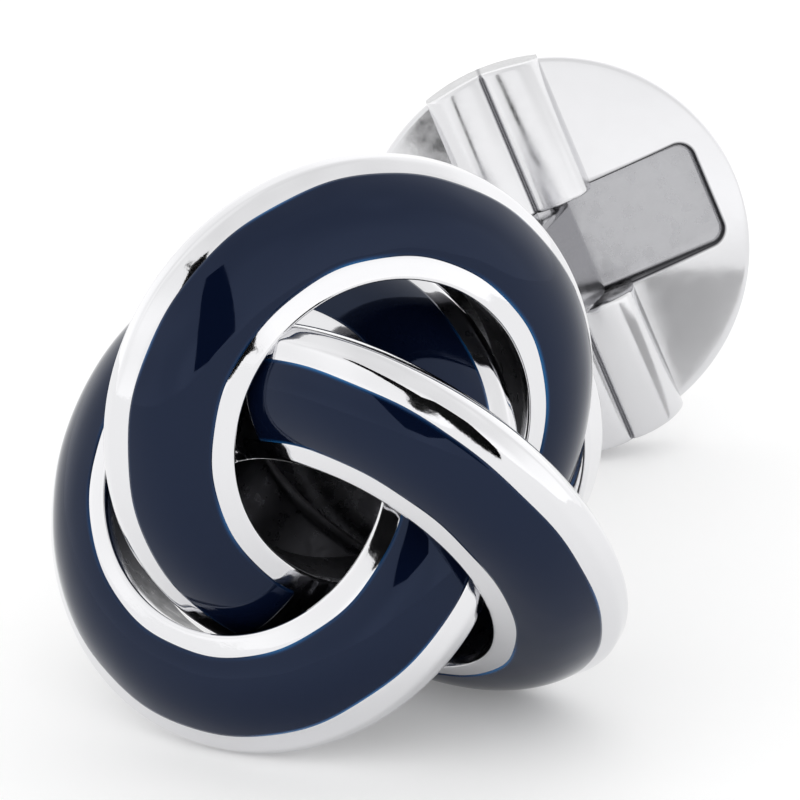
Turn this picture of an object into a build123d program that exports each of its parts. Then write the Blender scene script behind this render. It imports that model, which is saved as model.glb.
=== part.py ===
from build123d import *
from math import atan2, cos, degrees, radians, sin
import os

os.makedirs("parts", exist_ok=True)

# Lengths in mm, angles in degrees. Until the last section everything is in the knot's own
# frame: its axis is Z, its face looks along +Z and the post runs back along -Z.

# Rings of the knot. All three are alike and lie a third of a turn apart about the knot's axis,
# each set by hand before soldering, so that their places differ a little.
RING_AT = {"left": 210.0, "top": 90.0, "right": -30.0}
RING_OFFSET = {"left": 2.32, "top": 2.0, "right": 1.47}
RING_SIDE = {"left": -0.22, "top": 0.0, "right": -0.33}
RING_RISE = {"left": -0.10, "top": 0.0, "right": -0.06}
RING_LEAN = {"left": 31.0, "top": 39.3, "right": 37.5}
RING_CANT = {"left": 9.0, "top": 12.0, "right": 15.5}
RING_OUT_DIA = 13.68
RING_HOLE_DIA = 8.26

# Section of a ring, measured from the plane through its centre.
FACE_HIGH = 0.86
FACE_FALL = 1.90
INNER_BORDER = 0.59
OUTER_BORDER = 0.49
BORDER_RISE = 0.16
OUTER_WALL = 0.46
HOLE_WALL = 2.20
UNDER_BELLY = 0.75
EDGE_ROUND = 0.12
FOOT_ROUND = 0.25

# Enamel in the channel of each ring.
ENAMEL_DEPTH = 0.5
ENAMEL_BULGE = 0.28
ENAMEL_FROM = -178.0
ENAMEL_TO = 152.0
ENAMEL_GAP = 0.03

# Plate soldered across the backs of the rings, and the post that stands on it.
PLATE_DIA = 10.4
PLATE_THICK = 0.9
PLATE_EDGE_ROUND = 0.25
SOLDER_BITE = 0.25
POST_WIDE = 2.8
POST_THICK = 1.8
PIN_BACK = 20.1

# Round turning button behind the cuff, with a pocket that takes the post when it is turned.
BUTTON_DIA = 10.86
BUTTON_CROWN = 0.4
BUTTON_FACE_FALL = 0.85
BUTTON_EDGE = 0.3
BUTTON_EDGE_ROUND = 0.1
BUTTON_BACK_BULGE = 1.1
POCKET_LONG = 9.2
POCKET_SIDE_GAP = 0.1
POCKET_DEEP = 1.3
POCKET_CORNER = 0.45
STRAP_WIDE = 1.66
STRAP_HIGH = 1.0
STRAP_FALL = 0.9
STRAP_CURVE = 0.32
STRAP_PROUD = 0.1
BUTTON_TURN_AT = 44.7
BUTTON_TURNED = 21.0

# Hinge pin across the pocket, tight in the straps and free in the post.
PIN_DIA = 0.9
PIN_IN_STRAP = 1.0
PIN_SEAT_GAP = 0.03
PIN_RUN_GAP = 0.08

UP = Vector(0, 0, 1)
STANDING = (Align.CENTER, Align.CENTER, Align.MIN)


def heading(angle):
    """Unit vector in the XY plane at this angle from +X."""
    return Vector(cos(radians(angle)), sin(radians(angle)), 0)


def ring_plane(name):
    """Ring's own frame: Z is its axis, leant sideways and then canted outwards."""
    out = heading(RING_AT[name])
    side = heading(RING_AT[name] + 90)
    lean = radians(RING_LEAN[name])
    cant = radians(RING_CANT[name])
    axis = (UP * cos(lean) - side * sin(lean)) * cos(cant) + out * sin(cant)
    across = out - axis * out.dot(axis)
    centre = out * RING_OFFSET[name] + side * RING_SIDE[name] + UP * RING_RISE[name]
    return Plane(origin=centre, x_dir=across.normalized(), z_dir=axis)


# The sloping face of a ring runs from the hole's edge to the outer edge.
face_start = Vector(RING_HOLE_DIA / 2, FACE_HIGH)
face_end = Vector(RING_OUT_DIA / 2, FACE_HIGH - FACE_FALL)
face_run = (face_end - face_start).normalized()
face_out = Vector(-face_run.Y, face_run.X)
face_length = (face_end - face_start).length


def on_face(run, rise):
    """Point of the section this far along the sloping face and this far out from it."""
    return face_start + face_run * run + face_out * rise


hole_foot = Vector(RING_HOLE_DIA / 2, FACE_HIGH - HOLE_WALL)
wall_foot = Vector(RING_OUT_DIA / 2, face_end.Y - OUTER_WALL)
belly = (hole_foot + wall_foot) / 2 - Vector(0, UNDER_BELLY)
channel_start = INNER_BORDER
channel_end = face_length - OUTER_BORDER
channel_floor = BORDER_RISE - ENAMEL_DEPTH


def polygon(*points):
    """Closed face through these points."""
    return make_face(Polyline(*points, close=True))


def rounded(face, points, radius):
    """Face with the corners nearest to these points rounded."""
    return fillet([face.vertices().sort_by_distance(p)[0] for p in points], radius)


def turned(face, start=0.0, turn=360.0):
    """Solid from a section in (radius, height), revolved about Z."""
    return Rot(0, 0, start) * revolve(Plane.XZ * face, Axis.Z, turn)


metal_section = make_face(
    [
        Line(hole_foot, face_start),
        Line(face_start, on_face(channel_start, BORDER_RISE)),
        Line(on_face(channel_start, BORDER_RISE), on_face(channel_end, BORDER_RISE)),
        Line(on_face(channel_end, BORDER_RISE), face_end),
        Line(face_end, wall_foot),
        ThreePointArc(wall_foot, belly, hole_foot),
    ]
)
metal_section = rounded(metal_section, (face_start, face_end), EDGE_ROUND)
metal_section = rounded(metal_section, (hole_foot, wall_foot), FOOT_ROUND)

channel_section = polygon(
    on_face(channel_start, channel_floor),
    on_face(channel_end, channel_floor),
    on_face(channel_end, BORDER_RISE + ENAMEL_DEPTH),
    on_face(channel_start, BORDER_RISE + ENAMEL_DEPTH),
)
enamel_start = channel_start + ENAMEL_GAP
enamel_end = channel_end - ENAMEL_GAP
enamel_crown = on_face((enamel_start + enamel_end) / 2, BORDER_RISE + ENAMEL_BULGE)
enamel_section = make_face(
    [
        Line(on_face(enamel_start, channel_floor + ENAMEL_GAP), on_face(enamel_start, BORDER_RISE)),
        ThreePointArc(on_face(enamel_start, BORDER_RISE), enamel_crown, on_face(enamel_end, BORDER_RISE)),
        Line(on_face(enamel_end, BORDER_RISE), on_face(enamel_end, channel_floor + ENAMEL_GAP)),
        Line(on_face(enamel_end, channel_floor + ENAMEL_GAP), on_face(enamel_start, channel_floor + ENAMEL_GAP)),
    ]
)

enamel_turn = ENAMEL_TO - ENAMEL_FROM
end_gap = degrees(ENAMEL_GAP / enamel_crown.X)
ring = turned(metal_section) - turned(channel_section, ENAMEL_FROM, enamel_turn)
enamel = turned(enamel_section, ENAMEL_FROM + end_gap, enamel_turn - 2 * end_gap)
rings = [ring_plane(name).location * ring for name in RING_AT]

# Plate, soldered a little way into the undersides of all three rings, the highest one too.
ring_lows = [one.bounding_box().min.Z for one in rings]
plate_top = max(ring_lows) + SOLDER_BITE
plate_back = min(ring_lows) + SOLDER_BITE - PLATE_THICK
plate = Pos(0, 0, plate_back) * Cylinder(PLATE_DIA / 2, plate_top - plate_back, align=STANDING)
plate = fillet(plate.edges().filter_by(GeomType.CIRCLE), PLATE_EDGE_ROUND)

# Post: a flat bar with a rounded end about the pin's axis. Its frame has X along the pocket of
# the unturned button and Y along the pin.
shank = Plane(origin=-UP * PIN_BACK, x_dir=heading(BUTTON_TURN_AT), z_dir=UP)
post_hole = PIN_DIA + 2 * PIN_RUN_GAP
bar = Box(POST_THICK, POST_WIDE, PIN_BACK + (plate_back + plate_top) / 2, align=STANDING)
bar += Rot(90, 0, 0) * Cylinder(POST_THICK / 2, POST_WIDE)
bar -= Rot(90, 0, 0) * Cylinder(post_hole / 2, 2 * POST_WIDE)
post = shank.location * bar
knot_body = rings[0] + rings[1] + rings[2] + plate + post

# Button, in the frame of the pin's middle: Y along the pin, Z towards the knot.
button_radius = BUTTON_DIA / 2
rim_face = -BUTTON_CROWN - BUTTON_FACE_FALL
rim_back = rim_face - BUTTON_EDGE
back_crown = rim_back - BUTTON_BACK_BULGE
disc_section = make_face(
    [
        Line((0, back_crown), (0, -BUTTON_CROWN)),
        TangentArc((0, -BUTTON_CROWN), (button_radius, rim_face), tangent=(1, 0)),
        Line((button_radius, rim_face), (button_radius, rim_back)),
        TangentArc((0, back_crown), (button_radius, rim_back), tangent=(1, 0)),
    ]
)
rim_corners = ((button_radius, rim_face), (button_radius, rim_back))
disc_section = rounded(disc_section, rim_corners, BUTTON_EDGE_ROUND)
disc = turned(disc_section)

# Two half-round straps lie side by side across the disc and bend down to its rim.
strap_reach = button_radius + STRAP_PROUD
strap_bend = (strap_reach**2 + STRAP_FALL**2) / (2 * STRAP_FALL)
strap_shoulder = STRAP_HIGH - STRAP_CURVE
strap_foot = (rim_face + rim_back) / 2
strap_section = make_face(
    [
        Line((-STRAP_WIDE, strap_foot), (STRAP_WIDE, strap_foot)),
        Line((STRAP_WIDE, strap_foot), (STRAP_WIDE, strap_shoulder)),
        ThreePointArc((STRAP_WIDE, strap_shoulder), (STRAP_WIDE / 2, STRAP_HIGH), (0, strap_shoulder)),
        ThreePointArc((0, strap_shoulder), (-STRAP_WIDE / 2, STRAP_HIGH), (-STRAP_WIDE, strap_shoulder)),
        Line((-STRAP_WIDE, strap_shoulder), (-STRAP_WIDE, strap_foot)),
    ]
)
bend_axis = Axis((0, 0, STRAP_HIGH - strap_bend), (1, 0, 0))
bend_reach = degrees(atan2(strap_reach, strap_bend - STRAP_HIGH + strap_foot))
straps = revolve(Plane.XZ * strap_section, bend_axis, 2 * bend_reach).rotate(bend_axis, -bend_reach)
straps &= Pos(0, 0, strap_foot) * Cylinder(strap_reach, STRAP_HIGH - strap_foot, align=STANDING)

pocket_wide = POST_WIDE + 2 * POCKET_SIDE_GAP
pocket_outline = RectangleRounded(POCKET_LONG, pocket_wide, POCKET_CORNER)
pocket = extrude(Pos(0, 0, -POCKET_DEEP) * pocket_outline, POCKET_DEEP + STRAP_HIGH)
pin_long = pocket_wide + 2 * PIN_IN_STRAP
seat = Rot(90, 0, 0) * Cylinder(PIN_DIA / 2 + PIN_SEAT_GAP, pin_long + 2 * PIN_SEAT_GAP)
button = disc + straps - pocket - seat
pin = Rot(90, 0, 0) * Cylinder(PIN_DIA / 2, pin_long)

swivel = shank.location * Rot(0, BUTTON_TURNED, 0)
toggle_button = swivel * button
hinge_pin = swivel * pin


# Lying pose: the part rests on the outer walls of the left and right rings and on the button's
# rim. The plane through the three lowest points gives a new up direction, over and over.
def lowest(centre, axis, radius, up):
    """Lowest point of a circle for this up direction."""
    rise = up - axis * axis.dot(up)
    return centre - rise.normalized() * radius


def rims():
    """Centre, axis and radius of each circle that the part can rest on."""
    for name in ("left", "right"):
        frame = ring_plane(name)
        wall_middle = (face_end.Y + wall_foot.Y) / 2
        yield frame.origin + frame.z_dir * wall_middle, frame.z_dir, RING_OUT_DIA / 2
    frame = Plane(swivel)
    yield frame.origin + frame.z_dir * strap_foot, frame.z_dir, button_radius


up = heading(RING_AT["top"])
for _ in range(20):
    left_foot, right_foot, button_foot = (lowest(*rim, up) for rim in rims())
    normal = (right_foot - left_foot).cross(button_foot - left_foot).normalized()
    up = normal if normal.dot(up) > 0 else -normal
back = (up * up.dot(UP) - UP).normalized()
floor = Plane(origin=(0, 0, 0), x_dir=back.cross(up), z_dir=up)

nodes = {"knot_body": knot_body, "toggle_button": toggle_button, "hinge_pin": hinge_pin}
for name in RING_AT:
    nodes["enamel_" + name] = ring_plane(name).location * enamel
lying = {name: floor.location.inverse() * solid for name, solid in nodes.items()}
box = Compound(list(lying.values())).bounding_box()
stand = Pos(-box.center().X, -box.center().Y, -box.min.Z)
for name, solid in lying.items():
    placed = stand * solid
    export_step(placed, f"parts/{name}.step")
    print(name, len(placed.solids()), round(placed.volume, 3), placed.is_valid)
print("size", box.size)
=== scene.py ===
# %% [markdown]
# # A knot cufflink in silver and navy enamel
#
# The measured model comes first. It fixes every size and place, and it stays hidden behind the pieces
# made here, which follow it closely but have the fine curves that polished metal needs: a mirror finish
# shows every flat facet.

import bmesh
import bpy
import numpy as np
from mathutils import Matrix


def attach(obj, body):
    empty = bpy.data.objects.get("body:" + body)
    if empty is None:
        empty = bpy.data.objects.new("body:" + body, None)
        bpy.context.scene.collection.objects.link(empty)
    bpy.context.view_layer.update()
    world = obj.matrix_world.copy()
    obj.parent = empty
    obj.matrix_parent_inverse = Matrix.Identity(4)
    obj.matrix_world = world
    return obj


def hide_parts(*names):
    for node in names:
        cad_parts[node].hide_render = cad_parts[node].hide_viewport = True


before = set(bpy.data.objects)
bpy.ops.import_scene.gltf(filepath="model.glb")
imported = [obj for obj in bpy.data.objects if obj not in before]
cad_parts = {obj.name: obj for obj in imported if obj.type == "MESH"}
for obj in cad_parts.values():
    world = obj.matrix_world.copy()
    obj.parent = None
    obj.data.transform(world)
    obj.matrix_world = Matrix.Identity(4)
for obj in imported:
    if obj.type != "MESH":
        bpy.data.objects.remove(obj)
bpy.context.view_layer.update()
MM = 0.001

# %% [markdown]
# ## Where things are
#
# The knot is easiest to think about on its own axis: its face looks along +Z and the post runs back
# along -Z. The cufflink lies on a table, tipped over, so one turn and one shift take every point from
# the knot's axes to the table's. Each piece could be turned and moved as an object instead, but then
# patterns on its object coordinates would turn with it, so the place goes into the mesh.

# %% From the knot's axes to the table's
# Lengths are in mm and angles in degrees, unless a comment says otherwise. UP_IN_KNOT is the table's up,
# seen from the knot, and the hinge pin lies this far behind the knot.
KNOT_ORIGIN = np.array([0.615695, -9.842836, 6.643446])
UP_IN_KNOT = np.array([-0.40045, 0.915136, 0.046538])
PIN_BACK = 20.1
PIN_CENTRE = np.array([0.0, 0.0, -PIN_BACK])
BUTTON_TURN_AT = 44.7
BUTTON_TURNED = 21.0


def unit(vector):
    """A vector divided by its length."""
    return vector / np.linalg.norm(vector)


up = unit(UP_IN_KNOT)
back = unit(up * up[2] - np.array([0.0, 0.0, 1.0]))
TABLE_AXES = np.stack([np.cross(back, up), back, up])


def on_table(points):
    """Knot point to table point, in mm: its components along the table's axes, plus the knot's origin."""
    return points @ TABLE_AXES.T + KNOT_ORIGIN


def heading(degrees):
    """Unit vector in the knot's XY plane at this angle from +X."""
    angle = np.radians(degrees)
    return np.array([np.cos(angle), np.sin(angle), 0.0])


def button_axes():
    """Pocket direction, pin direction and face normal of the button, turned about the pin."""
    along, pin, normal = heading(BUTTON_TURN_AT), heading(BUTTON_TURN_AT + 90), np.array([0.0, 0.0, 1.0])
    turn = np.radians(BUTTON_TURNED)
    return np.stack([np.cos(turn) * along - np.sin(turn) * normal, pin,
                     np.sin(turn) * along + np.cos(turn) * normal])


print("button faces", button_axes()[2].round(3))

# %% [markdown]
# ## Surfaces from grids
#
# Every piece here is a grid of points: rows run along the piece and columns run round its section.
# Neighbours make four-sided faces, a closed direction joins its last line to its first, and rows that
# shrink to a point close an end. Building whole arrays at once keeps the curves dense and even, which
# a polished surface needs more than a cast or painted one does.


# %% A mesh from a grid of points
WELD_WITHIN = 0.0002 * MM


def surface(name, grid, wrap_rows, wrap_columns, material, body, replaced):
    """Each face joins grid points (i, j), (i+1, j), (i+1, j+1) and (i, j+1); UV is (i/rows, j/columns)."""
    rows, columns = grid.shape[:2]
    row_faces, column_faces = rows - (not wrap_rows), columns - (not wrap_columns)
    i, j = np.meshgrid(np.arange(row_faces), np.arange(column_faces), indexing="ij")
    i, j = i.ravel(), j.ravel()
    corners_i = np.stack([i, i + 1, i + 1, i], 1)
    corners_j = np.stack([j, j, j + 1, j + 1], 1)
    faces = (corners_i % rows) * columns + corners_j % columns
    mesh = bpy.data.meshes.new(name)
    mesh.vertices.add(rows * columns)
    mesh.vertices.foreach_set("co", (grid.reshape(-1, 3) * MM).ravel())
    mesh.loops.add(faces.size)
    mesh.loops.foreach_set("vertex_index", faces.ravel().astype(np.int32))
    mesh.polygons.add(len(faces))
    mesh.polygons.foreach_set("loop_start", np.arange(0, faces.size, 4, dtype=np.int32))
    mesh.polygons.foreach_set("use_smooth", np.ones(len(faces), dtype=bool))
    uv = np.stack([corners_i / row_faces, corners_j / column_faces], -1)
    mesh.uv_layers.new(name="UVMap").data.foreach_set("uv", uv.reshape(-1))
    mesh.update(calc_edges=True)
    work = bmesh.new()
    work.from_mesh(mesh)
    bmesh.ops.remove_doubles(work, verts=work.verts, dist=WELD_WITHIN)
    bmesh.ops.recalc_face_normals(work, faces=work.faces)
    work.to_mesh(mesh)
    work.free()
    mesh.materials.append(material)
    piece = bpy.data.objects.new(name, mesh)
    bpy.context.scene.collection.objects.link(piece)
    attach(piece, body)
    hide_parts(replaced)
    print(name, len(mesh.polygons), "faces")


def soft_loop(corners, step, width):
    """Closed path through corners, stepped evenly, then averaged along itself with a bell of this width."""
    closed = np.concatenate([corners, corners[:1]])
    reach = np.concatenate([[0], np.cumsum(np.linalg.norm(np.diff(closed, axis=0), axis=1))])
    count = int(round(reach[-1] / step))
    spots = np.linspace(0, reach[-1], count, endpoint=False)
    even = np.stack([np.interp(spots, reach, closed[:, k]) for k in range(2)], 1)
    shift = np.minimum(spots, reach[-1] - spots)
    bell = np.exp(-0.5 * (shift / width) ** 2)
    bell = np.fft.rfft(bell / bell.sum())[:, None]
    return np.fft.irfft(np.fft.rfft(even, axis=0) * bell, n=count, axis=0)


# %% [markdown]
# ## Silver plate
#
# The body is brass with a bright silver plate, buffed on a soft wheel: nearly a mirror, with a faint
# swirl of polishing marks and a skin that is never quite flat. The wheel can't reach into the knot, the
# grooves or the corners of the pocket, and there the plate is rougher. Those hollows also get a darker
# grey, which is painted shade, standing for the shade that falls there. The darkening could be painted
# face by face, but a ramp along the piece's own UV follows the section wherever the piece goes. The pin
# and the post have one tone all over, so theirs is set on the shader itself.


# %% Small helpers for materials
def colour(hex_code):
    """sRGB hex to linear: c/12.92 below 0.04045, else ((c+0.055)/1.055)**2.4, with alpha 1."""
    c = np.array([int(hex_code[k:k + 2], 16) for k in (1, 3, 5)]) / 255
    return (*np.where(c <= 0.04045, c / 12.92, ((c + 0.055) / 1.055) ** 2.4), 1.0)


def add_node(tree, kind, links=None, values=None, **settings):
    """Adds one node, applies its settings and socket values, and links other sockets into it."""
    node = tree.nodes.new(kind)
    for key, value in settings.items():
        setattr(node, key, value)
    for key, value in (values or {}).items():
        node.inputs[key].default_value = value
    for key, socket in (links or {}).items():
        tree.links.new(socket, node.inputs[key])
    return node


def set_ramp(node, stops):
    """Puts (position, hex) stops into a colour ramp, in order."""
    elements = node.color_ramp.elements
    while len(elements) < len(stops):
        elements.new(1.0)
    for element, (position, code) in zip(elements, stops):
        element.position, element.color = position, colour(code)


def new_material(name):
    """A node material with its principled shader."""
    material = bpy.data.materials.new(name)
    material.use_nodes = True
    print("material", name)
    return material, material.node_tree, material.node_tree.nodes["Principled BSDF"]


print("sRGB #808080 is", round(float(colour("#808080")[0]), 3), "in linear light")


# %% Polished silver plate
# The two darkest tones are painted shade, for the hollows inside the knot, the groove and the pocket walls.
BRIGHT, BUTTON, SATIN, SHADE_GREY, DEEP_SHADE = "#e2e2e4", "#dcdcde", "#b2b2b5", "#808084", "#4c4c50"
MIRROR_GLOSS, BUTTON_GLOSS, SATIN_GLOSS, UNBUFFED = 0.06, 0.19, 0.1614, 0.34
# Lengths and depths are in mm. Real polishing marks are finer, and are drawn this coarse so that they show.
WAVE_LENGTH, WAVE_DEPTH = 2.5, 0.03
MARK_LENGTH, MARK_DEPTH = 0.45, 0.01


def marked_metal(name, gloss):
    """Metal with long waves and fine marks in its skin; the marks vary the gloss from 0.7 to 1.4 times."""
    material, tree, shader = new_material(name)
    place = add_node(tree, "ShaderNodeTexCoord")
    waves = add_node(tree, "ShaderNodeTexNoise", {"Vector": place.outputs["Object"]},
                     {"Scale": 1 / (WAVE_LENGTH * MM), "Detail": 2.0, "Roughness": 0.45})
    swirl = add_node(tree, "ShaderNodeTexNoise", {"Vector": place.outputs["Object"]},
                     {"Scale": 1 / (MARK_LENGTH * MM), "Detail": 5.0, "Roughness": 0.6})
    marks = add_node(tree, "ShaderNodeMapRange", {"Value": swirl.outputs["Fac"]},
                     {"From Min": 0.3, "From Max": 0.75, "To Min": 0.7 * gloss, "To Max": 1.4 * gloss})
    wavy = add_node(tree, "ShaderNodeBump", {"Height": waves.outputs["Fac"]},
                    {"Strength": 1.0, "Distance": WAVE_DEPTH * MM})
    fine = add_node(tree, "ShaderNodeBump",
                    {"Height": swirl.outputs["Fac"], "Normal": wavy.outputs["Normal"]},
                    {"Strength": 0.25, "Distance": MARK_DEPTH * MM})
    shader.inputs["Metallic"].default_value = 1.0
    tree.links.new(fine.outputs["Normal"], shader.inputs["Normal"])
    return material, tree, shader, marks


def even_silver(name, tone, gloss):
    """One tone all over, set on the shader's own socket; only the marks vary the roughness."""
    material, tree, shader, marks = marked_metal(name, gloss)
    shader.inputs["Base Color"].default_value = colour(tone)
    tree.links.new(marks.outputs["Result"], shader.inputs["Roughness"])
    return material


def banded_silver(name, axis, stops, gloss):
    """Bands of tone along one UV axis; roughness goes from unbuffed in black to the gloss at 0.7 linear."""
    material, tree, shader, marks = marked_metal(name, 1.0)
    place = add_node(tree, "ShaderNodeTexCoord")
    share = add_node(tree, "ShaderNodeSeparateXYZ", {"Vector": place.outputs["UV"]})
    tone = add_node(tree, "ShaderNodeValToRGB", {"Fac": share.outputs[axis]})
    set_ramp(tone, stops)
    reach = add_node(tree, "ShaderNodeMapRange", {"Value": tone.outputs["Color"]},
                     {"From Min": 0.0, "From Max": 0.7, "To Min": UNBUFFED, "To Max": gloss})
    rough = add_node(tree, "ShaderNodeMath", {0: reach.outputs["Result"], 1: marks.outputs["Result"]},
                     operation="MULTIPLY")
    tree.links.new(tone.outputs["Color"], shader.inputs["Base Color"])
    tree.links.new(rough.outputs["Value"], shader.inputs["Roughness"])
    return material


silver = even_silver("silver plate on brass, buffed", BRIGHT, MIRROR_GLOSS)
satin = even_silver("silver plate on brass, satin", SATIN, SATIN_GLOSS)
# The ring's underside and hole wall get a darker grey, which is painted shade, and a rougher skin.
silver_ring_with_painted_shade = banded_silver("silver plate on brass, buffed outside and dull in the hole", "Y",
                                   ((0.0, BRIGHT), (0.57, BRIGHT), (0.66, DEEP_SHADE),
                                    (0.95, DEEP_SHADE), (0.985, BRIGHT)), MIRROR_GLOSS)

# %% [markdown]
# ## Navy enamel
#
# The enamel is coloured glass paste, filled into channels, cured and polished back. It is a very deep
# navy with a clear gloss over it, so most of what the eye sees is a faint bluish mirror image of the
# room. Where the fill thins out against the silver borders the metal shines through it as a fine
# line of brighter blue, which follows the section and so is drawn with the UV too.


# %% Navy enamel
NAVY, THIN_NAVY, EDGE_BLUE, COOL_GLINT = "#060d20", "#0c2a4c", "#2068a0", "#bad0ff"
# Lengths and depths are in mm. Real grain is finer, and is drawn this coarse so that its haze shows.
PATCH_LENGTH, GRAIN_LENGTH = 4.0, 0.3
RIPPLE_LENGTH, RIPPLE_DEPTH = 1.8, 0.02


def navy_enamel(name):
    """Glassy navy with a slow ripple. UV Y crosses the arch from 0 to 0.5, and it is thin at both ends."""
    material, tree, shader = new_material(name)
    place = add_node(tree, "ShaderNodeTexCoord")
    across = add_node(tree, "ShaderNodeSeparateXYZ", {"Vector": place.outputs["UV"]})
    thin = add_node(tree, "ShaderNodeValToRGB", {"Fac": across.outputs["Y"]})
    set_ramp(thin, ((0.0, "#ffffff"), (0.023, "#000000"), (0.48, "#000000"), (0.5, "#ffffff")))
    patch = add_node(tree, "ShaderNodeTexNoise", {"Vector": place.outputs["Object"]},
                     {"Scale": 1 / (PATCH_LENGTH * MM), "Detail": 1.0})
    filled = add_node(tree, "ShaderNodeMapRange", {"Value": patch.outputs["Fac"]},
                      {"From Min": 0.46, "From Max": 0.66, "To Min": 0.12, "To Max": 1.0})
    edge = add_node(tree, "ShaderNodeMath", {0: thin.outputs["Color"], 1: filled.outputs["Result"]},
                    operation="MULTIPLY")
    depth = add_node(tree, "ShaderNodeValToRGB", {"Fac": edge.outputs["Value"]})
    set_ramp(depth, ((0.0, NAVY), (0.35, THIN_NAVY), (1.0, EDGE_BLUE)))
    ripple = add_node(tree, "ShaderNodeTexNoise", {"Vector": place.outputs["Object"]},
                      {"Scale": 1 / (RIPPLE_LENGTH * MM), "Detail": 1.0})
    grain = add_node(tree, "ShaderNodeTexNoise", {"Vector": place.outputs["Object"]},
                     {"Scale": 1 / (GRAIN_LENGTH * MM), "Detail": 3.0})
    haze = add_node(tree, "ShaderNodeMapRange", {"Value": grain.outputs["Fac"]},
                    {"From Min": 0.35, "From Max": 0.7, "To Min": 0.03, "To Max": 0.07})
    bump = add_node(tree, "ShaderNodeBump", {"Height": ripple.outputs["Fac"]},
                    {"Strength": 1.0, "Distance": RIPPLE_DEPTH * MM})
    tree.links.new(depth.outputs["Color"], shader.inputs["Base Color"])
    tree.links.new(haze.outputs["Result"], shader.inputs["Roughness"])
    tree.links.new(bump.outputs["Normal"], shader.inputs["Normal"])
    shader.inputs["IOR"].default_value = 1.46
    shader.inputs["Specular Tint"].default_value = colour(COOL_GLINT)
    return material


enamel_blue = navy_enamel("navy enamel, filled and polished")

# %% [markdown]
# ## The three rings
#
# Each ring is cast with a sloping face, a round belly and a channel for the enamel. It could be a
# bevelled curve, but then its face would twist as it pleased. Here one section in (radius, height) is
# carried round the ring's axis, so the borders and walls are exact. The rings lean sideways, so that
# each dives under its neighbour, and they were set by hand, so no two lean quite alike.

# %% The rings' places and section
# Each row holds the angle about the knot, the offsets outwards, sideways and ahead, the lean and the cant.
RINGS = {"left": (210.0, 2.32, -0.22, -0.10, 31.0, 9.0),
         "top": (90.0, 2.0, 0.0, 0.0, 39.3, 12.0),
         "right": (-30.0, 1.47, -0.33, -0.06, 37.5, 15.5)}
# Places in the section are (radius, height): the face's edges, the feet of the walls and the belly.
HOLE_EDGE, OUTER_EDGE = np.array([4.13, 0.86]), np.array([6.84, -1.04])
HOLE_FOOT, WALL_FOOT, BELLY = np.array([4.13, -1.34]), np.array([6.84, -1.50]), np.array([5.485, -2.17])
# The enamel runs between these angles round its ring, counted from the ring's outermost point.
ENAMEL_FROM = -178.0
ENAMEL_TO = {"left": 168.0, "top": 168.0, "right": 158.0}
face_run = unit(OUTER_EDGE - HOLE_EDGE)
face_out = np.array([-face_run[1], face_run[0]])
FACE_LENGTH = np.linalg.norm(OUTER_EDGE - HOLE_EDGE)
INNER_BORDER, OUTER_BORDER, BORDER_RISE, BULGE = 0.59, 0.49, 0.16, 0.28
SECTION_STEP, EDGE_SOFTNESS = 0.07, 0.07


def ring_frame(name):
    """Centre and axes of a ring: its axis leans back along the circle by the lean, outwards by the cant."""
    at, offset, aside, rise, lean, cant = RINGS[name]
    out, side, ahead = heading(at), heading(at + 90), np.array([0, 0, 1.0])
    lean, cant = np.radians(lean), np.radians(cant)
    axis = (ahead * np.cos(lean) - side * np.sin(lean)) * np.cos(cant) + out * np.sin(cant)
    across = unit(out - axis * (out @ axis))
    return out * offset + side * aside + ahead * rise, np.stack([across, np.cross(axis, across), axis])


def ring_points(name, angle, radius, height):
    """Centre + radius (cos a, sin a) in the ring's plane + height along its axis, moved to the table."""
    centre, axes = ring_frame(name)
    spot = np.stack([radius * np.cos(angle), radius * np.sin(angle), height + 0 * angle], -1)
    return on_table(spot @ axes + centre)


def arc_through(start, middle, end, count):
    """Points of the circle through three points, from start to end, by turning about its centre."""
    a, b = middle - start, end - start
    cross = 2 * (a[0] * b[1] - a[1] * b[0])
    centre = start + np.array([b[1] * (a @ a) - a[1] * (b @ b), a[0] * (b @ b) - b[0] * (a @ a)]) / cross
    first, mid, last = (np.arctan2(*(p - centre)[::-1]) for p in (start, middle, end))
    sweep = (last - first) % (2 * np.pi)
    if (mid - first) % (2 * np.pi) > sweep:
        sweep -= 2 * np.pi
    angle = first + sweep * np.linspace(0, 1, count)
    return centre + np.linalg.norm(start - centre) * np.stack([np.cos(angle), np.sin(angle)], 1)


def on_face(run, rise):
    """Point of the section: this far down the sloping face and this far out from it."""
    return HOLE_EDGE + np.multiply.outer(run, face_run) + np.multiply.outer(rise, face_out)


def ring_section():
    """Closed section: hole wall, inner border, channel, outer border, outer wall and round belly."""
    belly = arc_through(WALL_FOOT, BELLY, HOLE_FOOT, 30)
    corners = np.concatenate([[HOLE_EDGE, on_face(INNER_BORDER, BORDER_RISE),
                               on_face(FACE_LENGTH - OUTER_BORDER, BORDER_RISE), OUTER_EDGE], belly])
    return soft_loop(corners, SECTION_STEP, EDGE_SOFTNESS)


section = ring_section()
print("section points", len(section), "lowest", section.min(0).round(2), "highest", section.max(0).round(2))

# %% [markdown]
# The bare stretch of each ring, where it dives under its neighbour, was heated and cleaned by hand. A
# sum of a few waves of different lengths stands for that rough skin, and it fades to nothing where the
# polished part begins. The same kind of wave, much smaller, makes the filled enamel wander a little at
# its borders, as hand filling does.


# %% Waves with fixed places
def wander(values, lengths, seed):
    """Sum of cosines of these wavelengths with fixed phases, scaled to lie mostly within -1 and 1."""
    phases = np.random.default_rng(seed).uniform(0, 2 * np.pi, len(lengths))
    waves = [np.cos(2 * np.pi * values / length + phase) for length, phase in zip(lengths, phases)]
    return sum(waves) / len(lengths) ** 0.5


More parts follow.
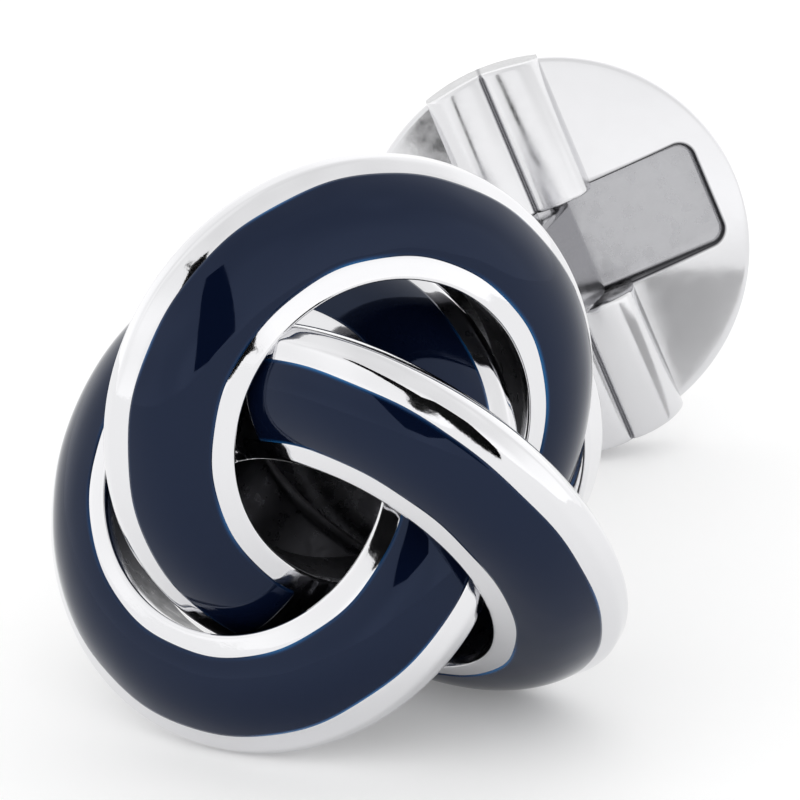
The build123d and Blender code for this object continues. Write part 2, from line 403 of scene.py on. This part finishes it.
def rough_skin(angle, around, seed):
    """Product of two wandering waves, one along the ring and one round its section."""
    along = wander(angle, (0.31, 0.17, 0.093, 0.052), seed)
    across = wander(around, (0.21, 0.13, 0.071, 0.043), seed + 1)
    return along * across


sample = wander(np.linspace(0, 10, 200), (3.0, 2.0, 1.3), 0)
print("a wander of three waves goes from", sample.min().round(2), "to", sample.max().round(2))


# %% Silver rings
RING_STEPS = 360
# The rough skin's height, how far over the face it is strongest, and how far it spreads, in mm.
SKIN_HEIGHT, SKIN_MIDDLE, SKIN_SPREAD = 0.03, 0.1, 0.35


def silver_ring(name, seed):
    """The section carried round the ring: radius and height come from the section, angle from the row."""
    angle = np.linspace(0, 2 * np.pi, RING_STEPS, endpoint=False)[:, None]
    bare = (angle - np.radians(ENAMEL_TO[name])) / np.radians(360 + ENAMEL_FROM - ENAMEL_TO[name])
    # The rough skin fades in and out over a quarter of the bare stretch.
    bare = np.clip(4 * bare, 0, 1) * np.clip(4 * (1 - bare), 0, 1)
    over_face = (section - HOLE_EDGE) @ face_out
    near_face = np.exp(-((over_face - SKIN_MIDDLE) / SKIN_SPREAD) ** 2)[None, :]
    around = np.linspace(0, 1, len(section), endpoint=False)[None, :]
    lift = SKIN_HEIGHT * bare * near_face * rough_skin(angle, around, seed)
    radius = section[None, :, 0] + lift * face_out[0]
    height = section[None, :, 1] + lift * face_out[1]
    surface("silver_ring_" + name, ring_points(name, angle + 0 * radius, radius, height), True, True,
            silver_ring_with_painted_shade, "knot", "knot_body")


for seed, name in enumerate(RINGS):
    silver_ring(name, seed)

# %% [markdown]
# ## The enamel strips
#
# Enamel is filled a little proud of its channel and stoned back to a soft crown, so its section is a low
# arch. It could be poured with a boolean between the borders, but the cut would be ragged, so each strip
# is a grid of its own. It ends in a rounded lip where the ring dives, where its rows shrink to a point,
# and it is closed underneath, inside the metal. The top ring was filled too full along its right side,
# so its strip reaches a little further out there.


# %% Enamel strips
# STRIP_CLEAR is in degrees, and MIDDLE_RADIUS turns the lip's length into an angle.
STRIP_CLEAR = 0.3
LIP_LENGTH, MIDDLE_RADIUS = 0.35, 5.6
STRIP_PROUD, STRIP_SINK = 0.006, 0.12
# How far each border wanders, the radius that turns its angle into a length, and its waves, in mm.
INNER_WANDER, INNER_RADIUS, INNER_WAVES = 0.02, 5.0, (11.0, 6.3, 3.7, 2.3)
OUTER_WANDER, OUTER_RADIUS, OUTER_WAVES = 0.022, 6.5, (12.0, 7.1, 4.3, 2.7)
OVERFILL = {"left": 0.0, "top": 0.13, "right": 0.0}
OVERFILL_AT, OVERFILL_WIDE = -75.0, 50.0
STRIP_SEED = 40


def strip_edges(name, angle, seed):
    """How far down the face the enamel begins and ends: the borders, plus their wander and the overfill."""
    inner = INNER_BORDER + INNER_WANDER * wander(angle * INNER_RADIUS, INNER_WAVES, seed)
    outer = FACE_LENGTH - OUTER_BORDER
    outer = outer + OUTER_WANDER * wander(angle * OUTER_RADIUS, OUTER_WAVES, seed + 9)
    bell = np.exp(-((angle - np.radians(OVERFILL_AT)) / np.radians(OVERFILL_WIDE)) ** 2)
    return inner, outer + OVERFILL[name] * bell


def enamel_strip(name, seed):
    """Arch of height bulge (1 - t**2) between two wandering edges, over a flat floor, along an arc."""
    start = np.radians(ENAMEL_FROM + STRIP_CLEAR)
    sweep = np.radians(ENAMEL_TO[name] - STRIP_CLEAR) - start
    lip = LIP_LENGTH / MIDDLE_RADIUS
    quarter = lip * (1 - np.cos(np.linspace(0, np.pi / 2, 9)[:-1]))
    share = np.concatenate([quarter, np.linspace(lip, sweep - lip, 330), sweep - quarter[::-1]])
    angle = (start + share)[:, None]
    from_end = np.minimum(share, sweep - share)[:, None]
    full = np.sqrt(np.clip(1 - (1 - np.clip(from_end / lip, 0, 1)) ** 2, 0, 1))
    inner, outer = strip_edges(name, angle, seed)
    middle, half = (inner + outer) / 2, (outer - inner) / 2
    arch = np.linspace(-1, 1, 37)[None, :]
    floor = arch[:, -2:0:-1]
    run = np.concatenate([middle + half * arch, middle + half * floor], 1)
    run[[0, -1]] = middle[[0, -1]]
    crown = BORDER_RISE + STRIP_PROUD + BULGE * (1 - arch ** 2) + 0 * middle
    sunk = np.full((len(share), floor.size), -STRIP_SINK)
    rise = full * np.concatenate([crown, sunk], 1)
    radius = HOLE_EDGE[0] + run * face_run[0] + rise * face_out[0]
    height = HOLE_EDGE[1] + run * face_run[1] + rise * face_out[1]
    surface("navy_strip_" + name, ring_points(name, angle + 0 * radius, radius, height), False, True,
            enamel_blue, "knot", "enamel_" + name)


for seed, name in enumerate(RINGS):
    enamel_strip(name, STRIP_SEED + seed)

# %% [markdown]
# ## Plate and post
#
# A round plate closes the back of the knot, and the post is a flat bar soldered to it. The bar's end is
# rounded about the hinge pin, so that it can turn in the button's pocket. The plate is a profile turned
# about the knot's axis, and the bar is its own side outline carried across its width.

# %% Plate
PLATE_TOP, PLATE_THICK, PLATE_RADIUS = -4.880, 1.436, 5.2
PLATE_BACK = PLATE_TOP - PLATE_THICK
PLATE_STEP, PLATE_SOFTNESS = 0.1, 0.09


def turned(outline, steps):
    """Profile in (radius, height) turned about the knot's axis: radius (cos a, sin a) plus height."""
    angle = np.linspace(0, 2 * np.pi, steps, endpoint=False)[None, :]
    radius, height = outline[:, 0, None], outline[:, 1, None]
    return on_table(np.stack([radius * np.cos(angle), radius * np.sin(angle), height + 0 * angle], -1))


def half_loop(points, step, width):
    """Half profile from axis to axis: the mirrored closed loop is softened, and its right half is kept."""
    mirrored = np.concatenate([points, points[::-1] * [-1, 1]])
    loop = soft_loop(mirrored, step, width)
    kept = loop[loop[:, 0] > step * 0.4]
    order = np.argsort(np.unwrap(np.arctan2(kept[:, 1] - points[:, 1].mean(), kept[:, 0])))
    kept = kept[order]
    return np.concatenate([[[0, kept[0, 1]]], kept, [[0, kept[-1, 1]]]])


plate_profile = half_loop(np.array([[0, PLATE_BACK], [PLATE_RADIUS, PLATE_BACK],
                                    [PLATE_RADIUS, PLATE_TOP], [0, PLATE_TOP]]),
                          PLATE_STEP, PLATE_SOFTNESS)
# The plate's front, inside the knot, gets a darker grey, which is painted shade.
plate_with_painted_shade = banded_silver("silver plate on brass, buffed behind and dull in front", "X",
                             ((0.0, BRIGHT), (0.62, BRIGHT), (0.66, SHADE_GREY), (1.0, SHADE_GREY)), MIRROR_GLOSS)
surface("back_plate", turned(plate_profile, 160), False, True,
        plate_with_painted_shade, "knot", "knot_body")

# %% Post
POST_WIDE, POST_THICK, POST_EDGE = 2.8, 1.8, 0.16
POST_STEP, POST_SOFTNESS = 0.12, 0.03


def post_bar():
    """Outline (x, z) carried across the width; rows step in round the edge, and sides close at a point."""
    half_turn = np.linspace(0, np.pi, 40)
    top = PIN_BACK + PLATE_TOP - PLATE_THICK / 2
    tip = np.stack([-POST_THICK / 2 * np.cos(half_turn), -POST_THICK / 2 * np.sin(half_turn)], 1)
    corners = np.concatenate([tip, [[POST_THICK / 2, top], [-POST_THICK / 2, top]]])
    outline = soft_loop(corners, POST_STEP, POST_SOFTNESS)
    tangent = np.roll(outline, -1, 0) - np.roll(outline, 1, 0)
    outward = np.stack([tangent[:, 1], -tangent[:, 0]], 1) / np.linalg.norm(tangent, axis=1, keepdims=True)
    turn = np.linspace(0, np.pi / 2, 6)
    rim = np.stack([POST_EDGE * (1 - np.sin(turn)), POST_WIDE / 2 - POST_EDGE * (1 - np.cos(turn))], 1)
    rim = np.concatenate([rim, rim[::-1] * [1, -1]])
    rows = outline - outward * rim[:, :1, None]
    middle = np.array([0.0, top / 2])
    close = np.linspace(0.0, 1.0, 5)[:-1, None, None]
    flat = np.concatenate([middle + (rows[0] - middle) * close, rows,
                           middle + (rows[-1] - middle) * close[::-1]])
    side = np.full(len(close), POST_WIDE / 2)
    at = np.concatenate([side, rim[:, 1], -side])
    spot = np.stack([flat[..., 0], np.broadcast_to(at[:, None], flat.shape[:2]), flat[..., 1]], -1)
    axes = np.stack([heading(BUTTON_TURN_AT), heading(BUTTON_TURN_AT + 90), [0, 0, 1.0]])
    surface("cuff_post", on_table(spot @ axes + PIN_CENTRE), False, True,
            satin, "knot", "knot_body")


post_bar()

# %% [markdown]
# ## The turning button
#
# The button is a thick lens, thin at its rim, with a long pocket milled across its face. It could be cut
# with a boolean, but the cut would leave hard edges and ragged faces. Instead the pocket's outline is
# followed outwards to the round rim, so one grid makes floor, walls, lip, face, rim and back.

# %% Button disc
BUTTON_RADIUS, CROWN, FACE_DROP, EDGE_THICK, BACK_BULGE = 5.43, -0.4, 0.85, 0.3, 1.1
POCKET_LONG, POCKET_WIDE, POCKET_CORNER, POCKET_FLOOR = 9.2, 3.0, 0.45, -1.3
POCKET_LIP, POCKET_FILLET, RIM_ROUND, RIM_SWELL = 0.07, 0.12, 0.12, 0.03
RIM_FACE = CROWN - FACE_DROP
RIM_BACK = RIM_FACE - EDGE_THICK
RIM_MIDDLE = (RIM_FACE + RIM_BACK) / 2
POCKET_POINTS, POCKET_SOFTNESS = 300, 0.02


def cap(radius, crown, drop):
    """Height of a round cap: a sphere through the crown that has dropped by this much at the rim."""
    ball = (BUTTON_RADIUS ** 2 + drop ** 2) / (2 * abs(drop))
    return crown - np.sign(drop) * (ball - np.sqrt(ball ** 2 - radius ** 2))


def pocket_outline():
    """Round-cornered rectangle, evenly stepped, with its outward normals."""
    quarter = np.linspace(0, np.pi / 2, 14)
    long, wide = POCKET_LONG / 2 - POCKET_CORNER, POCKET_WIDE / 2 - POCKET_CORNER
    corner = POCKET_CORNER * np.stack([np.cos(quarter), np.sin(quarter)], 1)
    parts = [corner + [long, wide], corner[::-1] * [-1, 1] + [-long, wide],
             -corner + [-long, -wide], corner[::-1] * [1, -1] + [long, -wide]]
    step = 2 * (POCKET_LONG + POCKET_WIDE) / POCKET_POINTS
    loop = soft_loop(np.concatenate(parts), step, POCKET_SOFTNESS)
    tangent = np.roll(loop, -1, 0) - np.roll(loop, 1, 0)
    normal = np.stack([tangent[:, 1], -tangent[:, 0]], 1)
    return loop, normal / np.linalg.norm(normal, axis=1, keepdims=True)


def face_height(spots):
    """Height of the button's face over these points."""
    return cap(np.linalg.norm(spots, axis=-1), CROWN, FACE_DROP)


def button_grid():
    """Rows of the outline: floor, fillet, wall, lip, face out to the rim, rim, back in to the middle."""
    loop, normal = pocket_outline()
    quarter = np.linspace(0, np.pi / 2, 6)
    foot = loop - normal * POCKET_FILLET
    wall_low = POCKET_FLOOR + POCKET_FILLET
    wall_high = face_height(loop) - POCKET_LIP
    rows = [(foot * f, POCKET_FLOOR) for f in (0, 0.3, 0.6, 0.85)]
    rows += [(foot + normal * POCKET_FILLET * np.sin(a), wall_low - POCKET_FILLET * np.cos(a))
             for a in quarter]
    rows += [(loop, wall_low + (wall_high - wall_low) * f) for f in (0.33, 0.66)]
    for a in quarter:
        spot = loop + normal * POCKET_LIP * (1 - np.cos(a))
        rows.append((spot, face_height(spot) - POCKET_LIP * (1 - np.sin(a))))
    direction = loop / np.linalg.norm(loop, axis=1, keepdims=True)
    lip_at = loop + normal * POCKET_LIP
    reach = direction * (BUTTON_RADIUS - RIM_ROUND)
    for f in np.linspace(0, 1, 30)[1:]:
        spot = lip_at + (reach - lip_at) * f
        rows.append((spot, face_height(spot)))
    thick = EDGE_THICK / 2 + RIM_SWELL
    for a in np.linspace(0, np.pi, 14)[1:-1]:
        radius = BUTTON_RADIUS - RIM_ROUND + RIM_ROUND * np.sin(a)
        rows.append((direction * radius, RIM_MIDDLE + thick * np.cos(a)))
    for f in np.linspace(1, 0, 40):
        rows.append((reach * f, cap(np.linalg.norm(reach * f, axis=1), RIM_BACK - BACK_BULGE, -BACK_BULGE)))
    grid = [np.column_stack([spot, height + 0 * spot[:, 0]]) for spot, height in rows]
    return on_table(np.stack(grid) @ button_axes() + PIN_CENTRE)


# The pocket walls get a darker grey, which is painted shade.
disc_with_painted_shade = banded_silver("silver plate on brass, buffed face and satin pocket", "X",
                            ((0.0, SATIN), (0.045, SATIN), (0.085, DEEP_SHADE), (0.15, DEEP_SHADE),
                             (0.187, BUTTON), (1.0, BUTTON)), BUTTON_GLOSS)
surface("button_disc", button_grid(), False, True,
        disc_with_painted_shade, "toggle", "toggle_button")

# %% [markdown]
# ## The straps
#
# Two half-round straps lie side by side over the pin and bend down to the rim. They were laid on before
# the pocket was milled, so the pocket cuts them into two pairs. Each strap could be a swept tube, but
# two tubes would cut through each other, so one grid makes the pair with its groove. The groove gets a
# thin line of painted shade, and it lies in the middle of the upper side, a quarter of the way round the
# section.

# %% Straps
STRAP_WIDE, STRAP_HIGH, STRAP_FALL, STRAP_REACH, STRAP_EDGE = 1.66, 1.0, 0.9, 5.53, 0.1
GROOVE_DEPTH, STRAP_SIDE, STRAP_ROUNDNESS = 0.34, 0.95, 2.3
# The thin band of darker grey along the groove is painted shade.
strap_with_painted_groove_shade = banded_silver("silver plate on brass, buffed over a dark groove", "Y",
                             ((0.0, BUTTON), (0.236, BUTTON), (0.244, SHADE_GREY), (0.250, SHADE_GREY),
                              (0.258, BUTTON), (1.0, BUTTON)), BUTTON_GLOSS)


def strap_pair(name, sign):
    """Two arcs that meet in a groove, along a circle that drops by the fall at the rim, with round ends."""
    across = np.linspace(-1, 1, 81)
    from_ridge = 2 * np.abs(across) - 1
    hump = 1 - np.sqrt(np.clip(1 - np.abs(from_ridge) ** STRAP_ROUNDNESS, 0, 1))
    sink = np.where(from_ridge > 0, STRAP_SIDE, GROOVE_DEPTH) * hump
    x = across * STRAP_WIDE
    ball = (STRAP_REACH ** 2 + STRAP_FALL ** 2) / (2 * STRAP_FALL)
    start = POCKET_WIDE / 2
    turn = np.linspace(0, np.pi / 2, 7)
    end_run, end_drop = STRAP_EDGE * (1 - np.cos(turn)), STRAP_EDGE * (1 - np.sin(turn))
    straight = np.linspace(start + STRAP_EDGE, STRAP_REACH - STRAP_EDGE, 40)[1:-1]
    y = np.concatenate([start + end_run, straight, STRAP_REACH - end_run[::-1]])
    drop = np.concatenate([end_drop, 0 * straight, end_drop[::-1]])
    top = STRAP_HIGH - (ball - np.sqrt(ball ** 2 - y[:, None] ** 2)) - sink - drop[:, None]
    rim = np.sqrt(STRAP_REACH ** 2 - x ** 2)
    y_here = start + (y[:, None] - start) * (rim - start) / (STRAP_REACH - start)
    upper = np.stack([np.broadcast_to(x, top.shape), y_here, top], -1)
    under = upper[:, ::-1].copy()
    under[..., 2] = RIM_MIDDLE
    loop = np.concatenate([upper, under], 1)
    first, last = loop[:1].copy(), loop[-1:].copy()
    first[..., 2] = last[..., 2] = RIM_MIDDLE
    grid = np.concatenate([first, loop, last])
    grid[..., 1] *= sign
    surface(name, on_table(grid @ button_axes() + PIN_CENTRE), False, True,
            strap_with_painted_groove_shade, "toggle", "toggle_button")


strap_pair("straps_upper", 1)
strap_pair("straps_lower", -1)

# %% [markdown]
# ## The hinge pin
#
# The hinge pin is a plain wire, hidden but for a glimpse in the pocket. It could be a grid as well, but
# nothing of its curve shows, so the measured one stays and only gets its finish.

# %% Hinge pin
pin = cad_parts["hinge_pin"]
pin.data.materials.clear()
pin.data.materials.append(silver)
pin.data.polygons.foreach_set("material_index", np.zeros(len(pin.data.polygons), dtype=np.int32))
print("hinge_pin", len(pin.data.polygons), "faces in", silver.name)

# %% [markdown]
# ## Table and tent
#
# Polished metal shows its surroundings, so the room is the light. The cufflink lies in a white tent on
# a white table, and every surface is bright except where it sees a card. Lamps could light it instead,
# but each would show in the silver as a hard spot. The table glows a little, as a lit table does, so
# that it stays white.

# %% Table
# The side is in metres.
TABLE_SIDE, TABLE_GLOW = 4.0, 0.15

bpy.ops.mesh.primitive_plane_add(size=TABLE_SIDE)
table = bpy.context.object
table.name = "table"
white, tree, shader = new_material("white acrylic table")
shader.inputs["Base Color"].default_value = colour("#f2f2f2")
shader.inputs["Roughness"].default_value = 0.6
shader.inputs["Specular IOR Level"].default_value = 0.0
shader.inputs["Emission Color"].default_value = (1.0, 1.0, 1.0, 1.0)
shader.inputs["Emission Strength"].default_value = TABLE_GLOW
table.data.materials.append(white)

# %% White tent
# Brightness at the horizon and overhead, and what the darkest and brightest folds of the cloth make of it.
TENT_LIGHT, TENT_TOP = 1.3, 1.0
DARK_FOLD, BRIGHT_FOLD = 0.90, 1.04

world = bpy.data.worlds.new("tent")
bpy.context.scene.world = world
world.use_nodes = True
tree = world.node_tree
background = tree.nodes["Background"]
look = add_node(tree, "ShaderNodeTexCoord")
folds = add_node(tree, "ShaderNodeTexNoise", {"Vector": look.outputs["Generated"]},
                 {"Scale": 1.7, "Detail": 1.0})
cloth = add_node(tree, "ShaderNodeMapRange", {"Value": folds.outputs["Fac"]},
                 {"From Min": 0.36, "From Max": 0.60, "To Min": DARK_FOLD, "To Max": BRIGHT_FOLD})
rise = add_node(tree, "ShaderNodeSeparateXYZ", {"Vector": look.outputs["Generated"]})
fade = add_node(tree, "ShaderNodeMapRange", {"Value": rise.outputs["Z"]},
                {"From Min": 0.0, "From Max": 1.0, "To Min": TENT_LIGHT, "To Max": TENT_TOP})
light = add_node(tree, "ShaderNodeMath", {0: cloth.outputs["Result"], 1: fade.outputs["Result"]},
                 operation="MULTIPLY")
background.inputs["Color"].default_value = (1.0, 1.0, 1.0, 1.0)
tree.links.new(light.outputs["Value"], background.inputs["Strength"])
print("tent", TENT_LIGHT, "at the horizon,", TENT_TOP, "overhead")

# %% [markdown]
# ## Cards
#
# Photographers stand cards round a bright thing to draw dark edges on it. A tall black one leans across
# the front and gives the enamel its black streak, and a small black one close to the right ring gives it
# its dark spot. The grey one is painted shade: it stands for the table's shadow beside the button, and
# its reflection darkens the button's side. The dark shapes could be painted on the metal, but then they
# would stay put when the view turns. Only mirror rays see the cards, so that they darken nothing else
# and cast no shadow.


# %% Cards
CARD_BLACK, TABLE_SHADOW_GREY = "#0a0a0b", "#dadada"


def card(name, corners, hex_code):
    """A flat sheet of paper with these corners, in mm, seen by mirror rays alone."""
    spots = np.array(corners)
    mesh = bpy.data.meshes.new(name)
    mesh.from_pydata((spots * MM).tolist(), [], [tuple(range(len(spots)))])
    sheet = bpy.data.objects.new(name, mesh)
    bpy.context.scene.collection.objects.link(sheet)
    paper, tree, shader = new_material(name + " paper")
    shader.inputs["Base Color"].default_value = colour(hex_code)
    shader.inputs["Roughness"].default_value = 0.9
    shader.inputs["Specular IOR Level"].default_value = 0.0
    mesh.materials.append(paper)
    sheet.visible_camera = sheet.visible_diffuse = sheet.visible_shadow = False
    print(name, "sides", np.linalg.norm(spots - np.roll(spots, 1, 0), axis=1).round(1), "mm")


card("tall_card", ((1.55, -30.35, 11.8), (5.25, -29.55, 11.2), (9.55, -28.65, 12.7),
                   (-8.9, -32.55, 43.0), (-14.3, -33.7, 40.0)), CARD_BLACK)
card("small_card", ((3.7, -15.1, 10.9), (6.55, -14.65, 8.6), (6.7, -14.6, 9.3),
                    (6.55, -14.5, 11.4), (5.1, -14.75, 12.2), (4.0, -15.0, 11.5)), CARD_BLACK)
# The grey card is painted shade: a sheet that mirror rays see in place of the table's shadow by the button.
card("table_shadow_card", ((5.1, 8.0, 4.8), (7.8, 11.9, 4.2), (5.3, 10.05, 0.1)), TABLE_SHADOW_GREY)

# %% [markdown]
# ## Camera
#
# The camera stands where the photograph was taken from. Its axes, its distance and its scale at the knot
# come from a fit of the rings, the post and the button to the photograph. A shifted lens could frame the
# cufflink too, but the shift would stay on in every other view, so the camera is turned to its aim.

# %% Camera
# The rows are the camera's right, up and back directions on the table. Places in the photograph are pixels.
CAMERA_AXES = np.array([[0.95512, 0.28997, -0.06059],
                        [-0.04973, 0.35859, 0.93217],
                        [0.29203, -0.88732, 0.35691]])
CAMERA_FAR = 271.3
PIXELS_PER_MM = 21.28
PHOTO_KNOT = np.array([534.18, 609.74])
VIEW_MIDDLE, VIEW_SIDE = np.array([565.0, 561.0]), 440.0
SENSOR_WIDTH = 36.0

camera_data = bpy.data.cameras.new("camera")
camera = bpy.data.objects.new("camera", camera_data)
bpy.context.scene.collection.objects.link(camera)
bpy.context.scene.camera = camera
offset = (VIEW_MIDDLE - PHOTO_KNOT) / PIXELS_PER_MM * [1, -1]
aim = KNOT_ORIGIN + offset[0] * CAMERA_AXES[0] + offset[1] * CAMERA_AXES[1]
stand = KNOT_ORIGIN + CAMERA_FAR * unit(CAMERA_AXES[2])
look_back = unit(stand - aim)
right = unit(np.cross(unit(CAMERA_AXES[1]), look_back))
above = np.cross(look_back, right)
pose = np.eye(4)
pose[:3, 0], pose[:3, 1], pose[:3, 2], pose[:3, 3] = right, above, look_back, stand * MM
camera.matrix_world = Matrix(pose.tolist())
camera_data.sensor_width = SENSOR_WIDTH
camera_data.lens = SENSOR_WIDTH * np.linalg.norm(stand - aim) / (VIEW_SIDE / PIXELS_PER_MM)
camera_data.clip_start, camera_data.clip_end = 0.01, 10.0
bpy.context.scene.view_settings.view_transform = "Standard"
print("lens", round(camera_data.lens, 1), "mm")
